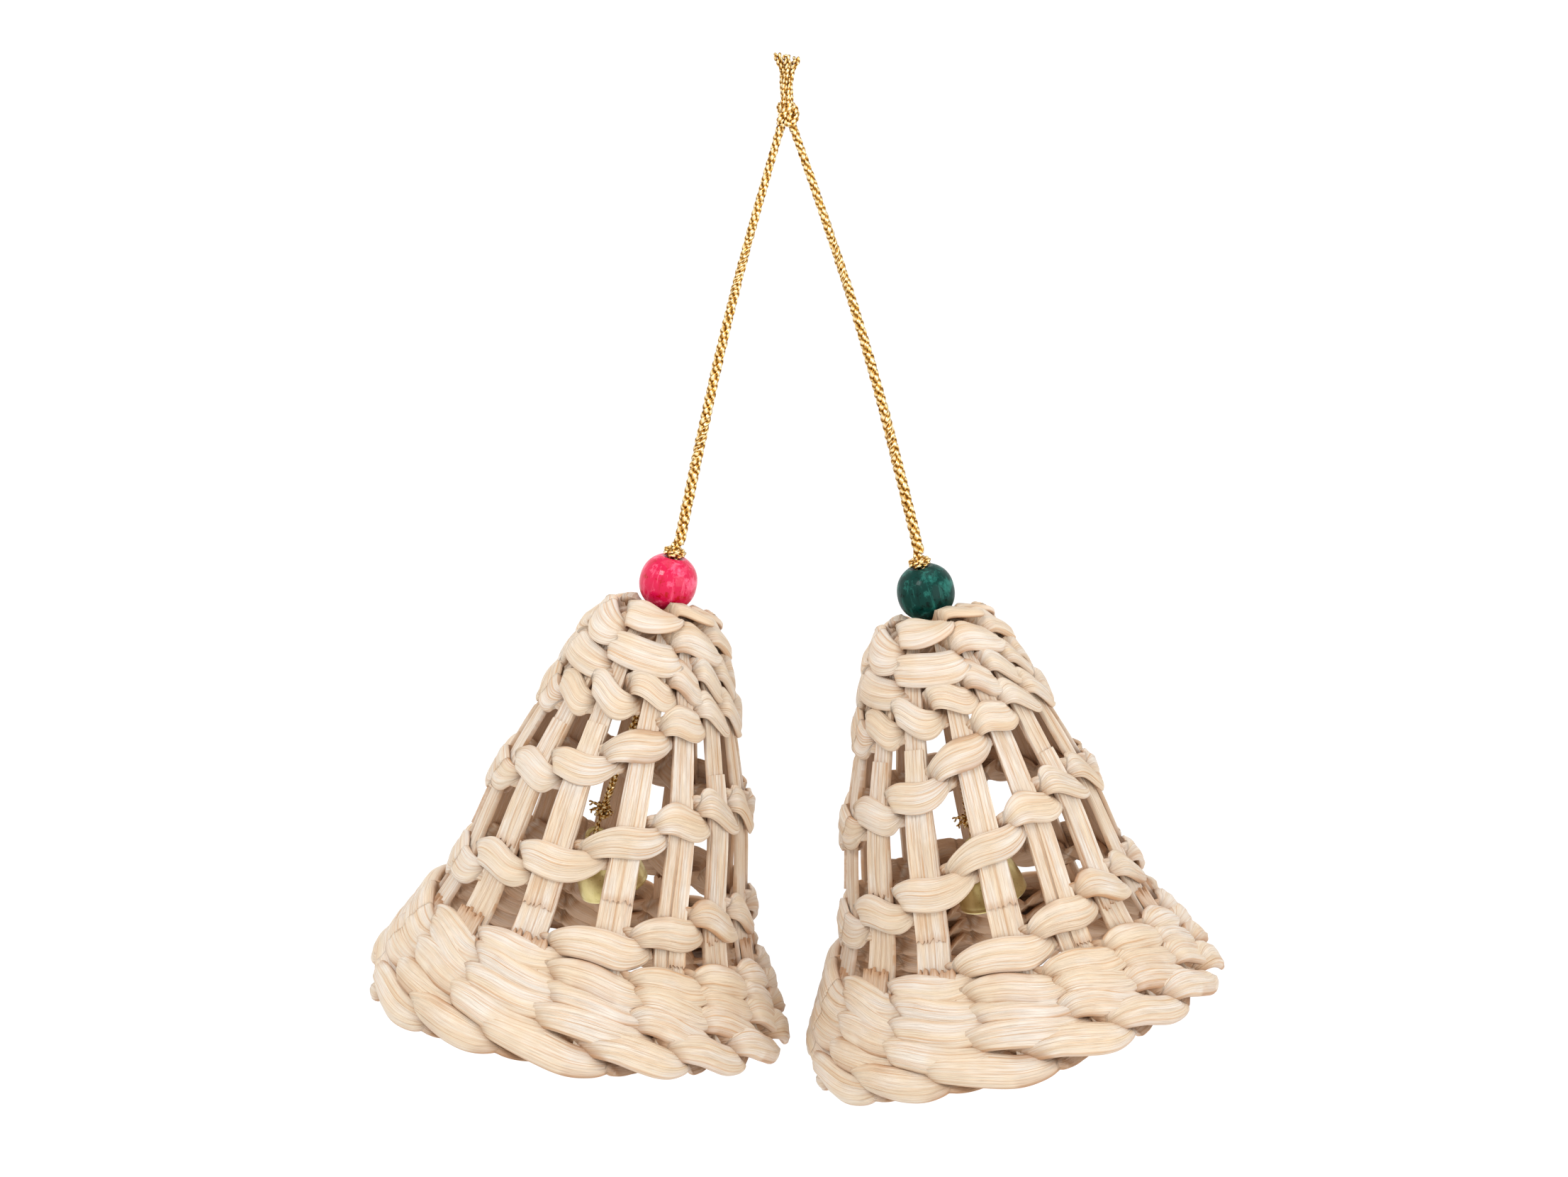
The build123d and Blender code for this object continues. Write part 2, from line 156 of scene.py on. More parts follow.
ANGLE_AT = curve_through(
    list(range(-2, STAKES + 3)),
    [STAKE_ANGLES[i % STAKES] + 360 * floor(i / STAKES) for i in range(-2, STAKES + 3)],
)
RISE_AT = curve_through(list(range(STAKES + 1)), RISE_AT_STAKE + [1])
HEM_RISE_AT = curve_through(list(range(STAKES + 1)), HEM_RISE_AT_STAKE + [1])


def spiral_angle(big_u):
    turn = floor(big_u / STAKES)
    return ANGLE_AT(big_u - turn * STAKES)


def spiral_distance(big_u):
    """How far down the wall the weave's middle lies, big_u stakes after its start at the hem."""
    turn = min(max(floor(big_u / STAKES), 0), TURNS - 1)
    u = big_u - turn * STAKES
    start, end = TURN_STARTS[turn], TURN_STARTS[turn + 1]
    share = u / STAKES
    if 0 <= u <= STAKES:
        share = RISE_AT(u) if turn > 0 else HEM_RISE_AT(u)
    drop = 0
    if turn == LAST_RIM_TURN:
        drop = LOWEST_OPEN_DROP * smooth((u - STAKES + 1.0) / 2)
    elif turn == LAST_RIM_TURN + 1:
        drop = LOWEST_OPEN_DROP * smooth((u + 1.0) / 2) * smooth((5.6 - u) / 3.6)
    return start + (end - start) * share + drop


# ---- Meshes ----
class Pile:
    """Vertices in mm with their grain: along and across the fibres, and how dark, which is real
    browning and tears together with painted shade.
    """

    def __init__(self):
        self.points, self.faces, self.grain = [], [], []

    def add_ring(self, points, grain):
        start = len(self.points)
        self.points += points
        self.grain += grain
        return start

    def join(self, a, b, count):
        for i in range(count):
            j = (i + 1) % count
            self.faces.append((a + i, a + j, b + j, b + i))

    def cap(self, start, count, flip=False):
        ring = list(range(start, start + count))
        self.faces.append(tuple(reversed(ring)) if flip else tuple(ring))

    def mesh(self, name, material, sharp=None):
        mesh = bpy.data.meshes.new(name)
        mesh.from_pydata([p * MM for p in self.points], [], self.faces)
        layer = mesh.attributes.new("grain", "FLOAT_VECTOR", "POINT")
        layer.data.foreach_set("vector", [x for g in self.grain for x in g])
        mesh.materials.append(material)
        mesh.polygons.foreach_set("use_smooth", [True] * len(mesh.polygons))
        if sharp is not None:
            mesh.set_sharp_from_angle(angle=radians(sharp))
        mesh.update()
        return mesh


def show(mesh, name, place, body, slot, *nodes):
    piece = bpy.data.objects.new(name, mesh)
    bpy.context.scene.collection.objects.link(piece)
    piece.matrix_world = place
    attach(piece, body)
    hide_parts(*nodes)
    return piece


# ---- Materials ----
def new_material(name, rough_value, spec=0.5, metallic=0.0, coat=0.0, coat_rough=0.1):
    material = bpy.data.materials.new(name)
    material.use_nodes = True
    tree = material.node_tree
    shader = tree.nodes["Principled BSDF"]
    shader.inputs["Roughness"].default_value = rough_value
    shader.inputs["Specular IOR Level"].default_value = spec
    shader.inputs["Metallic"].default_value = metallic
    shader.inputs["Coat Weight"].default_value = coat
    shader.inputs["Coat Roughness"].default_value = coat_rough
    return material, tree, shader


def node(tree, kind, **values):
    made = tree.nodes.new(kind)
    for key, value in values.items():
        if key.startswith("in_"):
            made.inputs[key[3:].replace("_", " ")].default_value = value
        else:
            setattr(made, key, value)
    return made


def scaled(tree, vector_out, scale, move=(0, 0, 0)):
    mapping = node(tree, "ShaderNodeMapping")
    mapping.inputs["Scale"].default_value = scale
    mapping.inputs["Location"].default_value = move
    tree.links.new(vector_out, mapping.inputs["Vector"])
    return mapping.outputs["Vector"]


def noise_of(tree, vector_out, scale, detail=4.0, roughness=0.6, distortion=0.0):
    made = node(tree, "ShaderNodeTexNoise", in_Scale=scale, in_Detail=detail, in_Roughness=roughness)
    made.inputs["Distortion"].default_value = distortion
    tree.links.new(vector_out, made.inputs["Vector"])
    return made.outputs["Fac"]


def ramp(tree, fac_out, *stops):
    made = node(tree, "ShaderNodeValToRGB")
    elements = made.color_ramp.elements
    while len(elements) < len(stops):
        elements.new(0.5)
    for element, (position, colour) in zip(elements, stops):
        element.position = position
        element.color = (*colour, 1)
    tree.links.new(fac_out, made.inputs["Fac"])
    return made.outputs["Color"]


def mixed(tree, fac, a, b):
    made = node(tree, "ShaderNodeMix", data_type="RGBA")
    for socket, value in ((made.inputs[0], fac), (made.inputs[6], a), (made.inputs[7], b)):
        if isinstance(value, bpy.types.NodeSocket):
            tree.links.new(value, socket)
        elif isinstance(value, (int, float)):
            socket.default_value = value
        else:
            socket.default_value = (*value, 1)
    return made.outputs[2]


def maths(tree, what, a, b):
    made = node(tree, "ShaderNodeMath", operation=what)
    for socket, value in zip(made.inputs, (a, b)):
        if isinstance(value, bpy.types.NodeSocket):
            tree.links.new(value, socket)
        else:
            socket.default_value = value
    return made.outputs[0]


def bumped(tree, shader, height_out, strength, distance):
    made = node(tree, "ShaderNodeBump", in_Strength=strength, in_Distance=distance)
    tree.links.new(height_out, made.inputs["Height"])
    tree.links.new(made.outputs["Normal"], shader.inputs["Normal"])


BLACK, WHITE = (0, 0, 0), (1, 1, 1)
VEINS, THREADS = (0.05, 2.6, 1), (0.12, 8.0, 1)     # noise scales along and across the fibres
STREAKS, FLECKS = (0.05, 0.55, 1), (0.45, 2.6, 1)
FLECK_BROWN = (0.36, 0.20, 0.09)
# Browns for torn and browned straw, also used to paint shade on the straw.
DEEP_BROWN_AND_SHADE, LIGHT_BROWN_AND_SHADE = (0.36, 0.165, 0.075), (0.60, 0.355, 0.19)


def straw_material(name, pale, mid, tan, vein_strength):
    material, tree, shader = new_material(name, 0.5, spec=0.35)
    grain = node(tree, "ShaderNodeAttribute", attribute_name="grain").outputs["Vector"]
    parts = node(tree, "ShaderNodeSeparateXYZ")
    tree.links.new(grain, parts.inputs[0])
    flat = node(tree, "ShaderNodeCombineXYZ")
    tree.links.new(parts.outputs[0], flat.inputs[0])
    tree.links.new(parts.outputs[1], flat.inputs[1])
    fibre = flat.outputs[0]
    veins = noise_of(tree, scaled(tree, fibre, VEINS), 1.0, 4.0, 0.65)
    threads = noise_of(tree, scaled(tree, fibre, THREADS, (7, 3, 0)), 1.0, 2.0, 0.6)
    streaks = noise_of(tree, scaled(tree, fibre, STREAKS, (3, 9, 0)), 1.0, 4.0, 0.6)
    place = node(tree, "ShaderNodeTexCoord").outputs["Object"]
    patches = noise_of(tree, place, 90.0, 3.0, 0.55)
    flecks = noise_of(tree, scaled(tree, fibre, FLECKS, (1, 5, 0)), 1.0, 5.0, 0.7)
    colour = ramp(tree, streaks, (0.34, mid), (0.56, pale))
    colour = mixed(tree, ramp(tree, patches, (0.42, BLACK), (0.62, (0.8, 0.8, 0.8))), colour, mid)
    lines = ramp(tree, veins, (0.32, WHITE), (0.50, BLACK))
    colour = mixed(tree, maths(tree, "MULTIPLY", lines, vein_strength), colour, tan)
    fine = ramp(tree, threads, (0.30, WHITE), (0.5, BLACK))
    colour = mixed(tree, maths(tree, "MULTIPLY", fine, 0.5 * vein_strength), colour, tan)
    specks = ramp(tree, flecks, (0.72, BLACK), (0.80, WHITE))
    colour = mixed(tree, maths(tree, "MULTIPLY", specks, 0.55), colour, FLECK_BROWN)
    # The grain's third value mixes these browns in: torn and browned straw, and painted shade at lobe
    # edges, creases, crossings, rib grooves and inside the bell.
    brown_and_shade = mixed(tree, streaks, DEEP_BROWN_AND_SHADE, LIGHT_BROWN_AND_SHADE)
    colour = mixed(tree, parts.outputs[2], colour, brown_and_shade)
    tree.links.new(colour, shader.inputs["Base Color"])
    deep = maths(tree, "MULTIPLY", veins, 0.7)
    height = maths(tree, "ADD", deep, maths(tree, "MULTIPLY", threads, 0.3))
    bumped(tree, shader, height, 1.0, 0.0005)
    roughness = maths(tree, "ADD", maths(tree, "MULTIPLY", threads, 0.25), 0.40)
    tree.links.new(roughness, shader.inputs["Roughness"])
    return material


GOLD_WRAP = (0.63, 0.09, 0)     # one band of foil to a millimetre of strand, once round it
GOLD_GLINTS = (2.2, 0.8, 1)
# The foil's colour ramp paints light and shade: painted shade in the dark bands and painted highlight
# in the gleaming bands along the wraps.
GOLD_PAINTED_SHADE, GOLD_DEEP = (0.10, 0.035, 0.006), (0.52, 0.25, 0.045)
GOLD_BRIGHT, GOLD_PAINTED_GLEAM = (0.88, 0.56, 0.18), (1.0, 0.87, 0.55)


def gold_material(name):
    material, tree, shader = new_material(name, 0.3, metallic=1.0)
    grain = node(tree, "ShaderNodeAttribute", attribute_name="grain").outputs["Vector"]
    wraps = node(tree, "ShaderNodeTexWave", in_Scale=1.0, in_Distortion=3.0, in_Detail=2.0)
    wraps.inputs["Detail Scale"].default_value = 1.5
    wraps.bands_direction = "DIAGONAL"
    tree.links.new(scaled(tree, grain, GOLD_WRAP), wraps.inputs["Vector"])
    # Painted glints: bright spots in the colour, which also set the roughness.
    glints = noise_of(tree, scaled(tree, grain, GOLD_GLINTS), 1.0, 2.0, 0.6)
    bands = maths(tree, "MULTIPLY", wraps.outputs["Fac"], 0.6)
    mix = maths(tree, "ADD", bands, maths(tree, "MULTIPLY", glints, 0.5))
    colour = ramp(
        tree, mix, (0.22, GOLD_PAINTED_SHADE), (0.38, GOLD_DEEP), (0.62, GOLD_BRIGHT), (0.80, GOLD_PAINTED_GLEAM)
    )
    tree.links.new(colour, shader.inputs["Base Color"])
    roughness = maths(tree, "ADD", maths(tree, "MULTIPLY", glints, 0.3), 0.15)
    tree.links.new(roughness, shader.inputs["Roughness"])
    bumped(tree, shader, mix, 1.0, 0.00012)
    return material


def stained_material(name, deep, mid, light, coat):
    material, tree, shader = new_material(name, 0.42, spec=0.08, coat=coat, coat_rough=0.08)
    place = node(tree, "ShaderNodeTexCoord").outputs["Object"]
    fibres = noise_of(tree, scaled(tree, place, (900, 900, 130)), 1.0, 5.0, 0.65, 0.3)
    clouds = noise_of(tree, place, 330.0, 5.0, 0.65)
    colour = ramp(tree, clouds, (0.36, deep), (0.41, mid), (0.54, mid), (0.66, light))
    pale = ramp(tree, fibres, (0.54, BLACK), (0.66, WHITE))
    colour = mixed(tree, maths(tree, "MULTIPLY", pale, 0.7), colour, light)
    dark = ramp(tree, fibres, (0.34, WHITE), (0.43, BLACK))
    colour = mixed(tree, maths(tree, "MULTIPLY", dark, 0.5), colour, deep)
    tree.links.new(colour, shader.inputs["Base Color"])
    bumped(tree, shader, fibres, 0.35, 0.00012)
    return material


BRASS_DEEP, BRASS_BRIGHT, BRASS_SPOT = (0.55, 0.44, 0.15), (0.85, 0.73, 0.36), (0.36, 0.25, 0.10)


def brass_material(name):
    material, tree, shader = new_material(name, 0.34, metallic=1.0)
    place = node(tree, "ShaderNodeTexCoord").outputs["Object"]
    speckle = noise_of(tree, place, 1500.0, 3.0, 0.6)
    clouds = noise_of(tree, place, 180.0, 4.0, 0.6)
    colour = ramp(tree, clouds, (0.3, BRASS_DEEP), (0.6, BRASS_BRIGHT))
    dots = ramp(tree, speckle, (0.62, BLACK), (0.7, WHITE))
    colour = mixed(tree, maths(tree, "MULTIPLY", dots, 0.6), colour, BRASS_SPOT)
    tree.links.new(colour, shader.inputs["Base Color"])
    roughness = maths(tree, "ADD", maths(tree, "MULTIPLY", clouds, 0.3), 0.2)
    tree.links.new(roughness, shader.inputs["Roughness"])
    bumped(tree, shader, speckle, 0.25, 0.00005)
    return material


PALE_STRAW = (0.80, 0.725, 0.635)
WEAVER = straw_material("straw_weaver", PALE_STRAW, (0.77, 0.62, 0.445), (0.62, 0.35, 0.17), 0.85)
STAKE = straw_material("straw_stake", PALE_STRAW, (0.76, 0.61, 0.44), (0.58, 0.33, 0.165), 1.0)
GOLD = gold_material("gold_cord")
RED = stained_material(
    "red_stained_wood", (0.46, 0.0, 0.006), (0.64, 0.004, 0.06), (0.90, 0.13, 0.24), 0.5
)
GREEN = stained_material(
    "green_stained_wood", (0.0, 0.009, 0.007), (0.001, 0.033, 0.026), (0.02, 0.15, 0.12), 0.12
)
BRASS = brass_material("brass")


# ---- Camera: the view is level with the crowns and looks a little down ----
LOOK_AT = Vector((-0.5, 0.0, -83.4)) * MM
VIEW_DOWN = radians(12.5)
DISTANCE = 1.1
FRAME_WIDTH = 0.2765
camera_data = bpy.data.cameras.new("camera")
camera_data.sensor_width = 36
camera_data.lens = 36 * DISTANCE / FRAME_WIDTH
camera = bpy.data.objects.new("camera", camera_data)
camera.location = LOOK_AT + DISTANCE * Vector((0, -cos(VIEW_DOWN), sin(VIEW_DOWN)))
camera.rotation_euler = (pi / 2 - VIEW_DOWN, 0, 0)
bpy.context.scene.collection.objects.link(camera)
bpy.context.scene.camera = camera


# ---- Cords ----
CORD_STRANDS, CORD_PITCH, CORE_PITCH = 3, 4.6, 4.0
CORD_STEP = 0.22
TUBE_POINTS = 7


def route_line(name, route):
    """Points in mm along the smooth line of a cord's route."""
    curve = bpy.data.curves.new(name, "CURVE")
    curve.dimensions = "3D"
    curve.resolution_u = 24
    spline = curve.splines.new("NURBS")
    spline.points.add(len(route) - 1)
    for point, (x, z) in zip(spline.points, route):
        point.co = (x * MM, 0, z * MM, 1)
    spline.order_u = 3
    spline.use_endpoint_u = True
    holder = bpy.data.objects.new(name, curve)
    bpy.context.scene.collection.objects.link(holder)
    mesh = bpy.data.meshes.new_from_object(holder)
    points = [v.co / MM for v in mesh.vertices]
    bpy.data.objects.remove(holder)
    bpy.data.meshes.remove(mesh)
    return points


def evenly(points, step):
    """The line's points again, about step apart."""
    lengths = [0.0]
    for a, b in zip(points, points[1:]):
        lengths.append(lengths[-1] + (b - a).length)
    count = max(ceil(lengths[-1] / step), 2)
    found, i = [], 0
    for k in range(count + 1):
        want = lengths[-1] * k / count
        while i < len(points) - 2 and lengths[i + 1] < want:
            i += 1
        t = (want - lengths[i]) / (lengths[i + 1] - lengths[i])
        found.append(points[i].lerp(points[i + 1], clamp(t)))
    return found


def frames_along(points, closed=False):
    """For each point, two directions square to the line that turn with it as little as they can."""
    count = len(points)
    tangents = []
    for i in range(count):
        a = points[(i - 1) % count] if closed or i > 0 else points[0]
        b = points[(i + 1) % count] if closed or i < count - 1 else points[-1]
        tangents.append((b - a).normalized())
    side = tangents[0].orthogonal().normalized()
    if abs(tangents[0].y) < 0.9:
        side = (Vector((0, 1, 0)) - tangents[0] * tangents[0].y).normalized()
    found = []
    for tangent in tangents:
        side = (side - tangent * side.dot(tangent)).normalized()
        found.append((side.copy(), tangent.cross(side)))
    if closed:
        first = (found[0][0] - tangents[0] * found[0][0].dot(tangents[0])).normalized()
        after = (side - tangents[0] * side.dot(tangents[0])).normalized()
        slip = atan2(tangents[0].cross(after).dot(first), after.dot(first))
        turned = []
        for i, (a, b) in enumerate(found):
            angle = slip * i / count
            turned.append((a * cos(angle) + b * sin(angle), b * cos(angle) - a * sin(angle)))
        found = turned
    return found


def tube(pile, points, frames, radius, closed=False, start=0.0):
    """A tube along points; radius is a function of the point's number."""
    rings = []
    along = start
    for i, (point, (a, b)) in enumerate(zip(points, frames)):
        if i:
            along += (point - points[i - 1]).length
        r = radius(i)
        angles = [2 * pi * k / TUBE_POINTS for k in range(TUBE_POINTS)]
        ring = [point + r * (a * cos(t) + b * sin(t)) for t in angles]
        rings.append(pile.add_ring(ring, [(along, k, start) for k in range(TUBE_POINTS)]))
    for a, b in zip(rings, rings[1:]):
        pile.join(a, b, TUBE_POINTS)
    if closed:
        pile.join(rings[-1], rings[0], TUBE_POINTS)
    else:
        pile.cap(rings[0], TUBE_POINTS, flip=True)
        pile.cap(rings[-1], TUBE_POINTS)


def twisted(pile, points, strands, reach, thickness, pitch, seed=0, closed=False, fray=0.0):
    """Strands twisted round a line: reach is how far out their middles lie, pitch one whole twist."""
    frames = frames_along(points, closed)
    total = sum((b - a).length for a, b in zip(points, points[1:]))
    turns = total / pitch
    if closed:
        turns = round(turns)
    for strand in range(strands):
        line, along = [], 0.0
        for i, (point, (a, b)) in enumerate(zip(points, frames)):
            if i:
                along += (point - points[i - 1]).length
            share = along / total
            angle = 2 * pi * (turns * share + strand / strands)
            out = reach * (1 + 0.16 * rough(along * 0.6, strand * 9.1, seed))
            out += fray * smooth((share - 0.55) / 0.45)
            line.append(point + out * (a * cos(angle) + b * sin(angle)))
        swells = [rough(0.9 * i, strand * 5.3, seed + 4) for i in range(len(line))]
        radii = [thickness * (1 + 0.12 * swell) for swell in swells]
        tube(
            pile, line, frames_along(line, closed), lambda i: radii[i], closed,
            start=31.0 * (strand + seed),
        )


def make_cord(name, side):
    line = evenly(route_line(f"{name}_route", side["route"]), CORD_STEP)
    length = sum((b - a).length for a, b in zip(line, line[1:]))
    pile = Pile()
    frames = frames_along(line)
    for strand in range(CORD_STRANDS):
        path, along = [], 0.0
        for i, (point, (a, b)) in enumerate(zip(line, frames)):
            if i:
                along += (point - line[i - 1]).length
            share = along / length
            angle = 2 * pi * (along / CORD_PITCH + strand / CORD_STRANDS)
            out = (0.36 + 0.16 * smooth(share)) * (1 + 0.15 * rough(along * 0.5, strand * 7.7))
            path.append(point + out * (a * cos(angle) + b * sin(angle)))
        tube(pile, path, frames_along(path), lambda i: 0.40 + 0.14 * i / len(path), start=40.0 * strand)
    piece = show(
        pile.mesh(f"{name}_cord_strands", GOLD), f"{name}_cord_strands", Matrix.Identity(4),
        f"{name}_cord", "gold_cord", f"{name}_hanger_cord",
    )


for name, side in SIDES.items():
    make_cord(name, side)


# ---- Straw ----
SLANT = 0.13          # how much earlier, in lobes, a strip's top edge passes inside than its middle
CROWN_TIP = 1.6       # how far the last turn tips up in front
CROWN_DIP = 4.2       # and how far it tips down behind
BEAD_RADIUS, BEAD_HALF_HEIGHT, BEAD_BORE = 5.1, 4.6, 1.25
BEAD_ROUNDNESS = 2.25  # a little fuller than a ball
OUTER_BEAD_HEIGHT, INNER_BEAD_HEIGHT = 5.2, -9.1
PRESSED_RADIUS = 5.2   # where the straw lies against a bead
PRESSED_SHARE = 0.25   # how far round a bead the straw is pressed
RIM_STRIP, OPEN_STRIP = 6.1, 5.9       # how high the strips are, before the crown's rows widen
SECTION_STEP, SECTION_POINTS, FEWEST_SECTIONS = 0.5, 28, 160
STAKE_ROOM, STAKE_GAP = 0.7, 0.15      # what a strip leaves between its halves for the stakes
# Inner faces of the weave and the stakes are darker: partly the straw's own browner inside, partly
# painted shade inside the bell. DARKEST caps all the darkening.
INSIDE_BROWN_AND_SHADE, STAKE_BACK_BROWN_AND_SHADE, DARKEST = 0.68, 0.72, 0.9


def lobe_place(big_u, strand):
    """v counts lobes along a strand: it lies in front at even whole v and behind at odd ones."""
    turn = min(floor(big_u / STAKES), TURNS - 1)
    if turn < FIRST_TURN_OVER_PAIRS:
        hem = 0.5 * smooth(1.15 - big_u / STAKES)
        return big_u + strand + hem + 0.12 * rough(big_u * 0.37, 4.4)
    return (big_u - FIRST_TURN_OVER_PAIRS * STAKES - 0.5) / 2 + strand


def ribbon_height(big_u):
    """How high a strip is at the middle of a lobe: highest in the crown, less in its last turn."""
    turn = big_u / STAKES
    height = RIM_STRIP + (OPEN_STRIP - RIM_STRIP) * smooth(turn - 3.6)
    height += 0.8 * smooth(turn - FIRST_TURN_OVER_PAIRS + 0.5)
    return height - 1.0 * smooth(turn - TURNS + 1.0)


def strand_pass(v, front, hold):
    """Where a strand is (1 outside the stakes, -1 inside), how full it is, how near its crossing."""
    from_outside = abs((v + 1) % 2 - 1)
    if from_outside < front:
        near = 0.5 * from_outside / front
    else:
        near = 0.5 * (1 - from_outside) / (1 - front)
    reach = clamp((0.5 - near) / (0.5 - hold)) * (1 if from_outside < front else -1)
    return reach * (1.5 - 0.5 * reach * reach), cos(pi * min(near, 0.5)) ** 0.6, near


def clear_of_beads(point):
    """The point itself, or where the beads on the bell's axis press it out to."""
    for height in (OUTER_BEAD_HEIGHT, INNER_BEAD_HEIGHT):
        beside = point - Vector((0, 0, height))
        reach = hypot(beside.x, beside.y)
        depth = (reach / PRESSED_RADIUS) ** 2 + abs(beside.z / PRESSED_RADIUS) ** BEAD_ROUNDNESS
        if depth < 1 + PRESSED_SHARE:
            grow = (1 / depth + PRESSED_SHARE / (1 + PRESSED_SHARE)) ** 0.5
            point = beside * grow + Vector((0, 0, height))
    return point


def weave_mesh(turn):
    """One turn: two strips, one passing outside the stakes where the other passes inside."""
    pile = Pile()
    radius_here = WALL_RADIUS(TURN_STARTS[turn])
    count = max(ceil(2 * pi * radius_here / SECTION_STEP), FEWEST_SECTIONS)
    for strand in (0, 1):
        rings = []
        for k in range(count + 1):
            big_u = turn * STAKES + STAKES * k / count
            v = lobe_place(big_u if k < count else big_u - 1e-6, strand)
            lobe = round(v / 2) * 2
            rim = 1 - smooth(big_u / STAKES - LAST_RIM_TURN - 0.7)
            pairs = smooth(big_u / STAKES - FIRST_TURN_OVER_PAIRS + 0.5)
            last = smooth(big_u / STAKES - TURNS + 1.3)
            front = 0.66 - 0.04 * pairs
            hold = 0.34 + 0.05 * pairs
            middle_side, swell, _ = strand_pass(v, front, hold)
            passing = lobe if abs(v - lobe) < front else 2 * floor(v / 2) + 1
            chance = rough(passing * 0.83 + 3.1 * strand, 2.3, 1.7)
            waver = rough(big_u * 1.3, strand * 4.4, 6.6)
            least = 0.62 - 0.12 * rim
            fullness = least + (1 - least) * swell * (1 + 0.22 * chance)
            height = ribbon_height(big_u) * fullness * (1 + 0.07 * waver)
            thick = (1.2 + 0.35 * rim + 0.45 * pairs) * (0.7 + 0.3 * swell)
            offset = (thick + STAKE_ROOM) / 2 + STAKE_GAP
            uneven = 1 + (0.35 + 0.4 * rim) * rough(lobe * 0.7, 3.3, strand)
            slope = (1.9 - 0.3 * rim + 0.1 * pairs) * uneven
            angle, distance = spiral_angle(big_u), spiral_distance(big_u)
            point, out, down, _ = wall_frame(angle, distance)
            wander = 0.35 * rough(big_u * 0.8, strand * 3.0, 5.5)
            shingle = (0.5 * rim + 0.2) * rough(lobe * 1.9, big_u * 0.05, 2.0 * strand)
            centre = point + down * (slope * sin(pi * v) + wander)
            facing = cos(radians(angle))
            centre += Vector((0, 0, last * facing * (CROWN_TIP if facing > 0 else CROWN_DIP)))
            tilt = 0.14 * rough(big_u * 0.5, strand * 4.0, 9.0) + 0.10 * middle_side
            tilt += 0.35 * sin(pi * v) * (1 - abs(middle_side))
            across = down * cos(tilt) + out * sin(tilt)
            outward = out * cos(tilt) - down * sin(tilt)
            along = big_u * 9.0 * radius_here / 30
            ring, grain = [], []
            for i in range(SECTION_POINTS):
                t = 2 * pi * i / SECTION_POINTS
                c, s = cos(t), sin(t)
                face = 1 if s > 0 else -1
                share = (abs(c) ** 0.75) * (1 if c > 0 else -1)
                side, full, close = strand_pass(v - SLANT * share, front, hold)
                a = 0.5 * height * share
                b = 0.5 * thick * (abs(s) ** 0.65) * face
                crown = (0.35 + 0.45 * rim + 0.15 * pairs) * (0.4 + 0.6 * full)
                bend = side if abs(side) > 0.05 else 0.05
                b += bend * crown * (0.5 - share * share)
                crease = rough(share * 1.7 + passing * 3.7, along * 0.06, strand * 8.0 + 0.7 * passing)
                fold = sin(4.2 * share + 2.2 * crease + 1.7 * passing + 3.0 * strand)
                ridge = (1 - abs(fold)) ** 3
                b += face * full * (0.24 * ridge + 0.42 * crease)
                b += 0.09 * face * rough(share * 8.0, along * 0.10, passing + 5.0 * strand)
                lift = side * offset + side * full * (0.45 * rim + 0.2) + shingle * full
                lift -= (0.25 + 0.20 * rim) * sin(pi * (v - lobe)) * clamp(0.5 + side)
                a += 0.15 * rough(along * 0.35, share * 0.5, strand * 6.0)
                ring.append(clear_of_beads(centre + out * lift + across * a + outward * b))
                # Painted shade: darker along the lobe edges, along the fold creases and near the
                # crossings where the strands pinch. The inner faces add their own brown together with
                # painted shade; the torn marks are real.
                edge_shade = smooth((abs(share) - 0.86) / 0.14) * (0.20 + 0.30 * rim)
                crease_shade = smooth((0.08 - ridge) / 0.08) * 0.05 + smooth((ridge - 0.90) / 0.10) * 0.10
                crossing_shade = smooth((close - 0.36) / 0.14) * (0.26 + 0.24 * rim)
                inside = INSIDE_BROWN_AND_SHADE if bend * s < 0 or bend < -0.5 else 0.0
                tear = rough(along * 0.14, lobe * 1.3, strand + 2.0 * turn) - 0.30 + 0.18 * rim
                torn = smooth(tear / 0.2) * 0.6
                brown_and_shade = edge_shade + crease_shade + crossing_shade + inside + torn * share * share
                place = 3.0 * share + 40 * strand + 7 * turn + 1.7 * passing
                grain.append((along, place, clamp(brown_and_shade, 0, DARKEST)))
            rings.append(pile.add_ring(ring, grain))
        for a, b in zip(rings, rings[1:]):
            pile.join(a, b, SECTION_POINTS)
        pile.cap(rings[0], SECTION_POINTS, flip=True)
        pile.cap(rings[-1], SECTION_POINTS)
    return pile.mesh(f"weave_{turn}", WEAVER)


WIDEST_STAKE, NARROWEST_STAKE = 6.9, 0.6
STAKE_SHARE = 0.56     # of the arc to the nearest stake


def stake_width(number, distance):
    angle = STAKE_ANGLES[number]
    before = (angle - STAKE_ANGLES[number - 1]) % 360
    after = (STAKE_ANGLES[(number + 1) % STAKES] - angle) % 360
    free = radians(min(before, after)) * WALL_RADIUS(distance) * STAKE_SHARE
    uneven = 1 + 0.07 * rough(distance * 0.06, number * 3.3, 2.0)
    return min(WIDEST_STAKE, max(free, NARROWEST_STAKE)) * uneven


RIB_COLUMNS, RIB_STEP = 19, 0.7
STAKE_THICKNESS, STAKE_BROWN = 0.62, 0.04
SPLINT_LIFT, SPLINT_THICKNESS = 0.50, 0.36
STUB_THICKNESS, STUB_BROWN, STUB_TEAR = 0.5, 0.38, 1.8
STUB_FOOT = 10         # how far a stub reaches down behind the rim
RIM_TOP = 5.2          # from the middle of the last rim turn up to where the stubs stand out


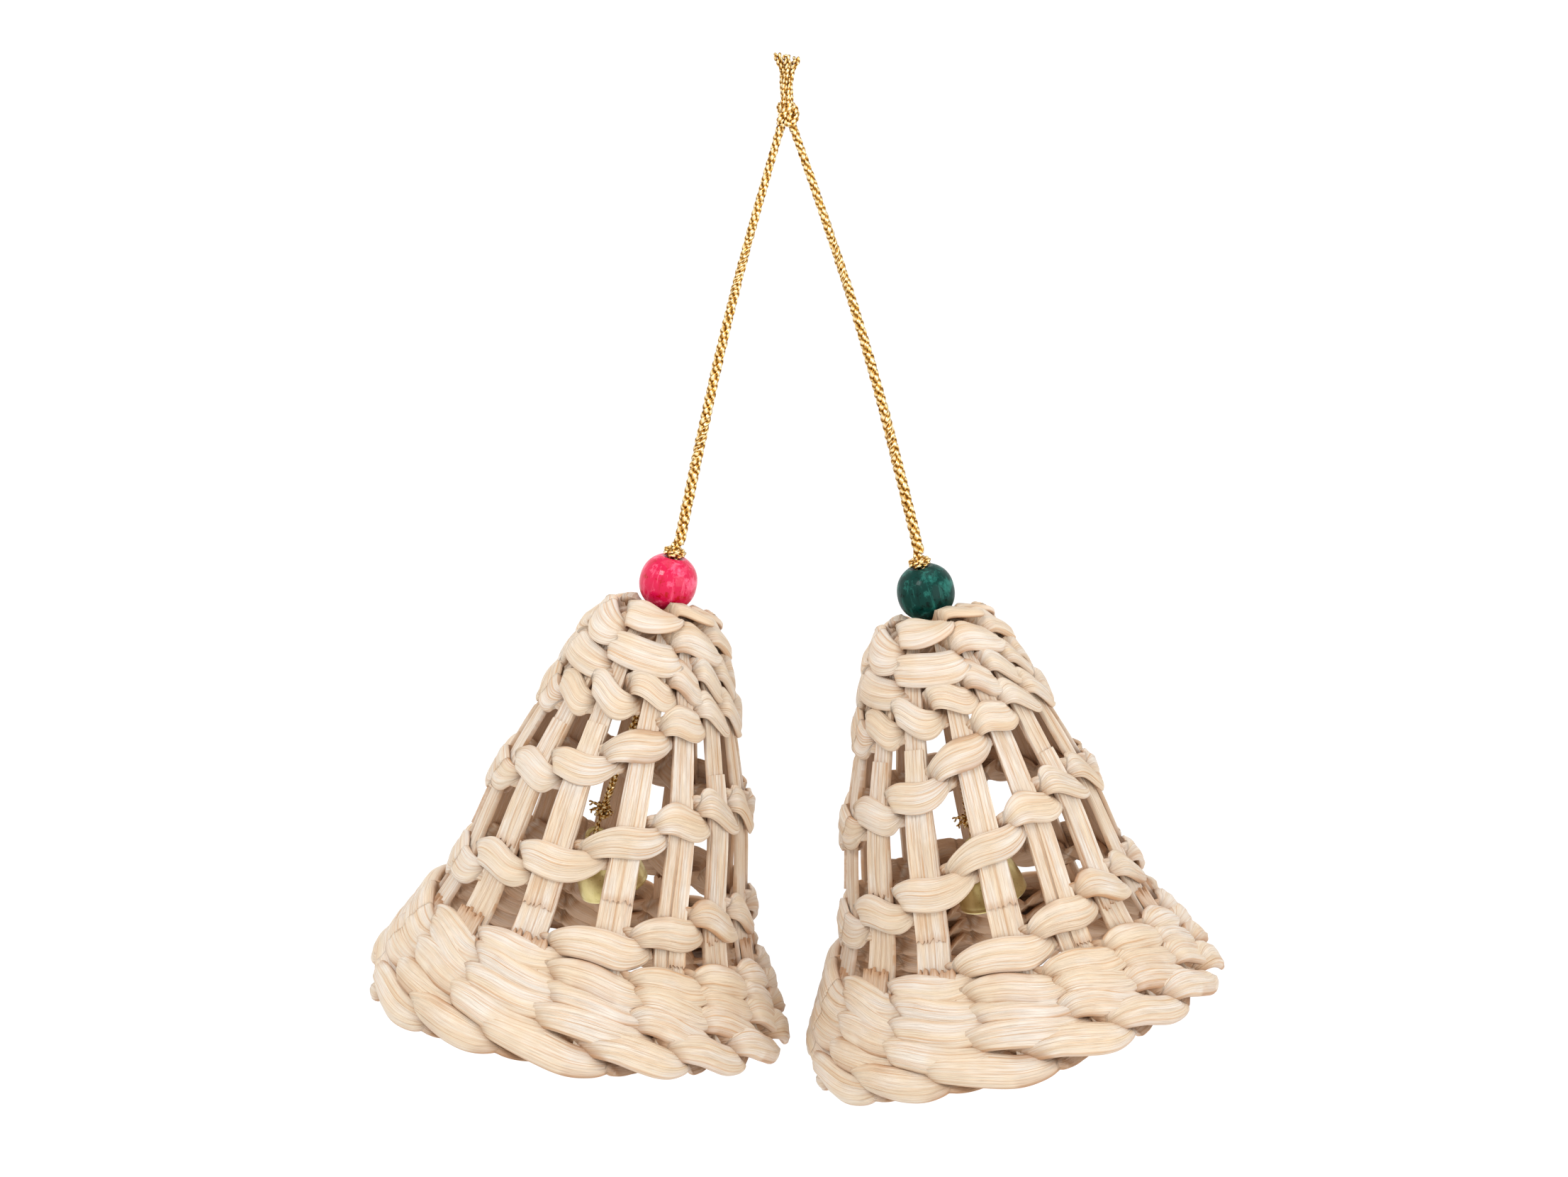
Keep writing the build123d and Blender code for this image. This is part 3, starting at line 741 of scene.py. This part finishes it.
def rib_layer(
    pile, number, start, end, lift, thick, share, torn_start, torn_end, browner, shift=0.0, seed=0
):
    """One layer of a stake: from start to end down the wall, lifted off its middle, with torn ends."""
    rows = max(ceil((end - start) / RIB_STEP), 6)
    angle = STAKE_ANGLES[number]
    wide = [stake_width(number, start + (end - start) * k / rows) * share for k in range(rows + 1)]
    tears = []
    for i in range(RIB_COLUMNS):
        tears.append(
            (
                torn_start * (0.5 + rough(i * 1.9, seed * 3.1, 4.0) + 0.5 * rough(i * 7.7, seed, 1.0)),
                torn_end * (0.5 + rough(i * 2.3, seed * 5.7, 8.0) + 0.5 * rough(i * 8.9, seed, 3.0)),
            )
        )
    rings = []
    for k in range(rows + 1):
        ring, grain = [], []
        for face in (1, -1):
            order = range(RIB_COLUMNS) if face > 0 else range(RIB_COLUMNS - 1, -1, -1)
            for i in order:
                head, tail = tears[i]
                distance = start + head + (end - tail - start - head) * k / rows
                sideways = 2 * i / (RIB_COLUMNS - 1) - 1
                point, out, _, right = wall_frame(angle, distance)
                a = sideways * 0.5 * wide[k] + 0.3 * rough(distance * 0.07, number * 5.1, seed) + shift
                waver = 0.5 * rough(distance * 0.05, i * 0.3, number)
                rib = abs(sin(2.2 * sideways * (2 + number % 3) + number + waver))
                b = lift + face * 0.5 * thick
                b += (0.16 * rib if face > 0 else -0.10 * rib) * (1 - 0.5 * abs(sideways))
                bow = 0.14 * sideways * sideways
                b += 0.22 * rough(distance * 0.08, sideways * 1.2, number * 2.0 + seed) + bow
                ring.append(point + right * a + out * b)
                torn = 0.5 * smooth(1 - k / 2.5) * (torn_start > 0)
                torn += 0.5 * smooth(1 - (rows - k) / 2.5) * (torn_end > 0)
                # Painted shade in the grooves between the ribs and on the stake's back face, which also
                # has the straw's own browner inside; the torn ends are really browner.
                groove_shade = 0.22 * smooth((0.35 - rib) / 0.35)
                brown_and_shade = browner + torn + groove_shade + (STAKE_BACK_BROWN_AND_SHADE if face < 0 else 0)
                grain.append((distance, a + 13.0 * number, clamp(brown_and_shade, 0, DARKEST)))
        rings.append(pile.add_ring(ring, grain))
    count = 2 * RIB_COLUMNS
    for a, b in zip(rings, rings[1:]):
        pile.join(a, b, count)
    for ring, flip in ((rings[0], True), (rings[-1], False)):
        for i in range(RIB_COLUMNS - 1):
            quad = (ring + i, ring + i + 1, ring + count - 2 - i, ring + count - 1 - i)
            pile.faces.append(quad[::-1] if not flip else quad)


def stakes_mesh():
    pile = Pile()
    for number in range(STAKES):
        hem = spiral_distance(number) + 1.0
        rib_layer(
            pile, number, WALL_KNOTS[0], hem, 0.0, STAKE_THICKNESS, 1.0, 0, 0, STAKE_BROWN, seed=number
        )
    # Splints laid over the stakes, with torn ends that show between the rows of weaving.
    for number, start, end, share, shift, torn_end in (
        (3, 24, 54.0, 0.93, 0.1, 1.3),
        (2, 24, 58.0, 0.90, -0.1, 1.0),
        (4, 40, 64.0, 0.55, 1.3, 0.8),
        (1, 26, 50.0, 0.85, 0.0, 1.1),
        (5, 30, 60.0, 0.90, 0.2, 1.1),
        (13, 28, 52.0, 0.88, 0.0, 1.2),
        (8, 22, 49.0, 0.90, 0.1, 1.2),
        (10, 30, 57.0, 0.85, -0.2, 1.0),
    ):
        rib_layer(
            pile, number, start, end, SPLINT_LIFT, SPLINT_THICKNESS, share, 0, torn_end, 0.0, shift,
            seed=number + 20,
        )
    # Stub ends standing out of the rim, outside and inside the stakes.
    for number, lift, share, shift, rise in (
        (2, 0.95, 1.15, 0.6, 2.6), (1, 0.80, 0.9, -0.4, 3.4), (0, 0.6, 0.8, 0.4, 1.8),
        (4, -0.75, 0.9, 0.0, 1.6), (6, 0.7, 0.8, 0.3, 1.8), (9, -0.7, 0.9, 0.2, 2.6),
        (10, -0.75, 0.9, -0.3, 3.2), (11, -0.7, 0.85, 0.4, 2.4), (12, 0.65, 0.8, 0.0, 1.6),
        (8, -0.7, 0.9, 0.3, 2.0), (7, 0.65, 0.85, 0.0, 1.4),
    ):
        top = spiral_distance(LAST_RIM_TURN * STAKES + number) - RIM_TOP
        rib_layer(
            pile, number, top - rise, top + STUB_FOOT, lift, STUB_THICKNESS, share, STUB_TEAR, 0,
            STUB_BROWN, shift, seed=number + 50,
        )
    return pile.mesh("stakes", STAKE, sharp=50)


weave_meshes = [weave_mesh(turn) for turn in range(TURNS)]
stake_mesh = stakes_mesh()


# ---- Turned, bent and tied small pieces, upright in mm about their own Z ----
LATHE_POINTS = 64


def lathe(pile, profile, wobble):
    """A closed profile of radii and heights turned round Z, a little out of true."""
    rings = []
    for k, (r, z) in enumerate(profile):
        ring = []
        for i in range(LATHE_POINTS):
            t = 2 * pi * i / LATHE_POINTS
            rr = r * (1 + wobble * rough(cos(t), sin(t), z * 0.2))
            ring.append(Vector((rr * sin(t), -rr * cos(t), z)))
        rings.append(pile.add_ring(ring, [(z, i * 0.2, k * 0.1) for i in range(LATHE_POINTS)]))
    for a, b in zip(rings, rings[1:] + rings[:1]):
        pile.join(a, b, LATHE_POINTS)


def bead_mesh(name, material):
    profile = []
    for k in range(33):
        t = -1 + 2 * k / 32
        z = BEAD_HALF_HEIGHT * sin(pi / 2 * t)
        r = BEAD_RADIUS * (1 - abs(z / BEAD_RADIUS) ** BEAD_ROUNDNESS) ** 0.5
        profile.append((max(r, BEAD_BORE + 0.45), z))
    mouth = [(BEAD_BORE + 0.12, BEAD_HALF_HEIGHT - 0.10), (BEAD_BORE, BEAD_HALF_HEIGHT - 0.45)]
    profile += mouth + [(BEAD_BORE, 0)] + [(r, -z) for r, z in reversed(mouth)]
    pile = Pile()
    lathe(pile, profile, 0.012)
    return pile.mesh(name, material)


def winding(radius, tube_radius, height, around_axis, around_tube, count, flat=1.0):
    """A closed line that winds as a tied knot does."""
    points = []
    for i in range(count):
        t = 2 * pi * i / count
        r = radius + tube_radius * cos(around_tube * t)
        x, y = r * cos(around_axis * t), flat * r * sin(around_axis * t)
        points.append(Vector((x, y, height * sin(around_tube * t))))
    return points


def ring_knot_mesh(seed):
    pile = Pile()
    twisted(pile, winding(1.35, 0.34, 0.40, 3, 5, 220), 2, 0.20, 0.25, 1.7, seed, closed=True)
    return pile.mesh(f"ring_knot_{seed}", GOLD)


KNOT_MIDDLE = 0.8
CORD_TOP = (1.1, -1.5)


def top_knot_mesh():
    """The overhand knot, drawn tight over the tops of both cords."""
    pile = Pile()
    line = winding(1.02, 0.52, 1.55, 2, 3, 260, flat=0.85)
    twisted(pile, [p + Vector((0, 0, KNOT_MIDDLE)) for p in line], 3, 0.34, 0.36, 2.6, 5, closed=True)
    x, z = CORD_TOP
    for side in (-1, 1):
        low, high = Vector((side * (x + 0.1), 0, z - 0.5)), Vector((side * 0.3, 0, KNOT_MIDDLE))
        line = [low.lerp(high, k / 12) for k in range(13)]
        twisted(pile, line, CORD_STRANDS, 0.36, 0.40, CORD_PITCH, 6)
    return pile.mesh("top_knot", GOLD)


CORD_ENDS = [(-1.7, -0.9, 11.5), (-0.1, -1.5, 11.3), (1.7, -0.6, 10.8), (0.3, 1.2, 9.8)]
FORK_HEIGHT = 8.2
BUNDLE_REACH = (0.62, 0.85)


def cord_ends_mesh():
    """The four cut ends: they leave the knot side by side in a loose twist and fork near their tips."""
    pile = Pile()
    for number, (tip_x, tip_y, tip_z) in enumerate(CORD_ENDS):
        start = atan2(tip_y, tip_x)
        tip = Vector((tip_x, tip_y, tip_z))
        line = []
        for k in range(61):
            z = KNOT_MIDDLE + 1.4 + (tip_z - KNOT_MIDDLE - 1.4) * k / 60
            rise = clamp((z - KNOT_MIDDLE) / (FORK_HEIGHT - KNOT_MIDDLE))
            reach = BUNDLE_REACH[0] + (BUNDLE_REACH[1] - BUNDLE_REACH[0]) * rise
            angle = start - 1.6 * (1 - rise)
            bundled = Vector((reach * cos(angle), reach * sin(angle), z))
            parted = smooth((z - FORK_HEIGHT) / (tip_z - FORK_HEIGHT))
            line.append(bundled.lerp(Vector((tip.x, tip.y, z)), parted))
        twisted(pile, line, 3, 0.25, 0.27, 3.4, 10 + number, fray=0.22)
    return pile.mesh("cord_ends", GOLD)


def line_mesh(name, start, end, strands, reach, thickness, pitch, seed):
    pile = Pile()
    count = max(ceil((end - start).length / 0.2), 6)
    line = [start.lerp(end, k / count) for k in range(count + 1)]
    twisted(pile, line, strands, reach, thickness, pitch, seed)
    return pile.mesh(name, GOLD)


CHIME_OUTSIDE = [(6.3, 0), (6.15, 2.0), (5.8, 4.0), (5.2, 6.0), (4.0, 7.6), (2.0, 8.3)]
CHIME_STEPS = (0.9, 1.5, 2, 2.6, 3.2, 4, 4.6, 5.2, 5.8, 6.3, 6.8, 7.2, 7.6)
CHIME_HEIGHT, CHIME_WALL, CHIME_HOLE = 8.4, 0.6, 0.42


def chime_mesh():
    heights = [h for _, h in CHIME_OUTSIDE]
    radius_at = curve_through(heights, [r for r, _ in CHIME_OUTSIDE])
    outside = [(6.22, 0.0), (6.30, 0.12), (6.31, 0.35), (6.22, 0.6)]
    outside += [(radius_at(h), h) for h in CHIME_STEPS]
    outside += [(3.2, 7.98), (2.4, 8.22), (1.5, 8.36), (0.7, CHIME_HEIGHT), (CHIME_HOLE, CHIME_HEIGHT)]
    inside = [(5.72, 0.02)]
    for r, h in outside[3:]:
        inside.append((max(r - CHIME_WALL, CHIME_HOLE), h - CHIME_WALL * smooth((h - 5.5) / 2.5)))
    pile = Pile()
    lathe(pile, outside + inside[::-1], 0.008)
    return pile.mesh("chime_shell", BRASS)


JOINT_GAP = 0.1
EYE_RING_RADIUS = 1.5
LOOP_RING_RADIUS, LOOP_WIRE_RADIUS = 1.5, 0.4
CHIME_KNOT_RADIUS = 1.7
CHIME_KNOT_HALF_HEIGHT = 0.8 * CHIME_KNOT_RADIUS
CORD_INTO_KNOT = 0.5
CHIME_HINGE = CHIME_HEIGHT + 2 * EYE_RING_RADIUS - JOINT_GAP - LOOP_WIRE_RADIUS


def chime_knot_mesh():
    pile = Pile()
    loop = []
    for k in range(60):
        t = 2 * pi * k / 60
        y, z = LOOP_RING_RADIUS * sin(t), LOOP_RING_RADIUS - LOOP_RING_RADIUS * cos(t)
        loop.append(Vector((0, y, z)))
    twisted(pile, loop, 2, 0.18, 0.20, 2.0, 30, closed=True)
    line = winding(0.72, 0.42, 1.0, 2, 3, 150)
    middle = 2 * LOOP_RING_RADIUS + CHIME_KNOT_HALF_HEIGHT
    twisted(pile, [p + Vector((0, 0, middle)) for p in line], 2, 0.24, 0.27, 2.0, 31, closed=True)
    for number, tip in enumerate(((-2.4, -0.6, 0.6), (-1.9, -1.4, -0.6), (1.5, -1.6, 0.2))):
        start = Vector((0.4 * tip[0] / 3, 0.4 * tip[1] / 2, middle))
        end = start + Vector(tip)
        bend = Vector((0, 0, 0.5))
        line = [start.lerp(end, k / 14) + bend * sin(pi * k / 14) for k in range(15)]
        twisted(pile, line, 2, 0.12, 0.16, 2.0, 32 + number, fray=0.2)
    return pile.mesh("chime_knot", GOLD)


def leaning(side):
    x, z = side["bead"]
    lean = radians(side["lean"])
    crown = Vector((x - OUTER_BEAD_HEIGHT * sin(lean), 0, z - OUTER_BEAD_HEIGHT * cos(lean))) * MM
    return Matrix.Translation(crown) @ Matrix.Rotation(lean, 4, "Y")


def standing_at(point, height, up):
    up = Vector(up).normalized()
    x = Vector((0, 1, 0)).cross(up).normalized()
    y = up.cross(x)
    turn = Matrix((x, y, up)).transposed().to_4x4()
    return Matrix.Translation((Vector(point) - up * height) * MM) @ turn


KNOT_WIRE = 0.65
REST_GAP = 0.25
INNER_CORD_RADIUS = 0.7
CORD_FOOT = 1.5       # how far above the stopper knot's middle its hanger cord ends
STOPPER_HEIGHT = OUTER_BEAD_HEIGHT + BEAD_HALF_HEIGHT + REST_GAP + KNOT_WIRE
INNER_KNOT_HEIGHT = INNER_BEAD_HEIGHT - BEAD_HALF_HEIGHT - REST_GAP - KNOT_WIRE
INNER_HINGE_HEIGHT = INNER_KNOT_HEIGHT - KNOT_WIRE - JOINT_GAP - INNER_CORD_RADIUS

identity = Matrix.Identity(4)
show(top_knot_mesh(), "top_knot_strands", identity, "hanger", "gold_cord", "top_knot")
show(cord_ends_mesh(), "cord_end_strands", identity, "hanger", "gold_cord", "cord_ends")

knot_mesh = ring_knot_mesh(2)
shell_mesh = chime_mesh()
hung_mesh = chime_knot_mesh()
beads = {"red": bead_mesh("red_bead", RED), "green": bead_mesh("green_bead", GREEN)}

for name, side in SIDES.items():
    bell = leaning(side)
    for number, mesh in enumerate(weave_meshes):
        node_name = f"{name}_{TURN_NAMES[number]}"
        show(mesh, f"{node_name}_straw", bell, f"{name}_bell", "straw_weaver", node_name)
    show(stake_mesh, f"{name}_stakes_straw", bell, f"{name}_bell", "straw_stake", f"{name}_stakes")
    slot = f"{side['stain']}_stained_wood"
    up = bell @ Matrix.Translation((0, 0, OUTER_BEAD_HEIGHT * MM))
    show(
        beads[side["stain"]], f"{name}_outer_bead_turned", up, f"{name}_outer_bead_body",
        slot, f"{name}_outer_bead",
    )
    low = bell @ Matrix.Translation((0, 0, INNER_BEAD_HEIGHT * MM))
    show(
        beads["red"], f"{name}_inner_bead_turned", low, f"{name}_inner_bead_body",
        "red_stained_wood", f"{name}_inner_bead",
    )
    stopper = bell @ Matrix.Translation((0, 0, STOPPER_HEIGHT * MM))
    show(
        knot_mesh, f"{name}_stopper_knot_strands", stopper, f"{name}_core",
        "gold_cord", f"{name}_stopper_knot",
    )
    inner = bell @ Matrix.Translation((0, 0, INNER_KNOT_HEIGHT * MM))
    show(
        knot_mesh, f"{name}_inner_knot_strands", inner, f"{name}_core",
        "gold_cord", f"{name}_inner_knot",
    )
    top, bottom = STOPPER_HEIGHT + CORD_FOOT, INNER_KNOT_HEIGHT - 0.4
    core = line_mesh(
        f"{name}_core_line", Vector((0, 0, top)), Vector((0, 0, bottom)),
        CORD_STRANDS, 0.44, 0.48, CORE_PITCH, 20,
    )
    show(core, f"{name}_core_strands", bell, f"{name}_core", "gold_cord", f"{name}_core_cord")
    hinge = (bell @ Vector((0, 0, INNER_HINGE_HEIGHT * MM))) / MM
    end = Vector(side["chime_hinge"])
    up_cord = (hinge - end).normalized()
    knot_top = 2 * LOOP_RING_RADIUS + 2 * CHIME_KNOT_HALF_HEIGHT
    low_end = end + up_cord * (knot_top - CORD_INTO_KNOT)
    line = line_mesh(
        f"{name}_inner_line", hinge, low_end, CORD_STRANDS, 0.32, 0.36, CORE_PITCH, 25
    )
    show(
        line, f"{name}_inner_cord_strands", identity, f"{name}_chime_line",
        "gold_cord", f"{name}_inner_cord",
    )
    hung = standing_at(side["chime_hinge"], 0, up_cord)
    show(
        hung_mesh, f"{name}_chime_knot_strands", hung, f"{name}_chime_line",
        "gold_cord", f"{name}_chime_knot",
    )
    chime = standing_at(side["chime_hinge"], CHIME_HINGE, side["chime_up"])
    show(
        shell_mesh, f"{name}_chime_shell_turned", chime, f"{name}_chime",
        "brass", f"{name}_chime_shell",
    )
    for kept in ("chime_eye", "chime_clapper"):
        for material_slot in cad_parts[f"{name}_{kept}"].material_slots:
            material_slot.material = BRASS


# ---- Floor, backdrop and light ----
def plain_material(name, colour, glow):
    material, tree, shader = new_material(name, 0.9, spec=0.1)
    place = node(tree, "ShaderNodeTexCoord").outputs["Object"]
    grains = noise_of(tree, place, 4.0, 2.0)
    tone = ramp(tree, grains, (0.3, tuple(c * 0.99 for c in colour)), (0.7, colour))
    tree.links.new(tone, shader.inputs["Base Color"])
    shader.inputs["Emission Color"].default_value = (1, 1, 1, 1)
    shader.inputs["Emission Strength"].default_value = glow
    return material


def backdrop():
    """A round floor, far below, that turns up into a wall on every side in one curve."""
    reach, low, high, bend = 5.0, -1.7, 4.5, 1.6
    profile = [(0.001, low), (1.5, low), (reach - bend, low)]
    for k in range(1, 16):
        t = pi / 2 * k / 16
        profile.append((reach - bend + bend * sin(t), low + bend - bend * cos(t)))
    profile += [(reach, low + bend), (reach, high)]
    around = 96
    spokes = [(sin(2 * pi * i / around), -cos(2 * pi * i / around)) for i in range(around)]
    points = [Vector((r * x, r * y, z)) for r, z in profile for x, y in spokes]
    faces = []
    for k in range(len(profile) - 1):
        for i in range(around):
            j = (i + 1) % around
            faces.append((k * around + i, k * around + j, (k + 1) * around + j, (k + 1) * around + i))
    mesh = bpy.data.meshes.new("backdrop")
    mesh.from_pydata(points, [], faces)
    mesh.polygons.foreach_set("use_smooth", [True] * len(faces))
    mesh.materials.append(plain_material("paper_white", (0.6, 0.6, 0.6), 0.50))
    piece = bpy.data.objects.new("backdrop", mesh)
    bpy.context.scene.collection.objects.link(piece)


def soft_light(name, where, power, size):
    data = bpy.data.lights.new(name, "AREA")
    data.energy, data.size = power, size
    light = bpy.data.objects.new(name, data)
    light.location = where
    light.rotation_euler = (LOOK_AT - Vector(where)).to_track_quat("-Z", "Y").to_euler()
    bpy.context.scene.collection.objects.link(light)


backdrop()
soft_light("key", (-0.55, -0.75, 0.75), 5.6, 0.38)
soft_light("fill", (0.9, -0.8, 0.1), 4.6, 0.9)
soft_light("top", (0.1, 0.05, 0.9), 3.0, 0.8)
world = bpy.data.worlds.new("world")
world.use_nodes = True
world.node_tree.nodes["Background"].inputs["Color"].default_value = (1, 1, 1, 1)
world.node_tree.nodes["Background"].inputs["Strength"].default_value = 0.62
bpy.context.scene.world = world
bpy.context.scene.view_settings.view_transform = "Standard"
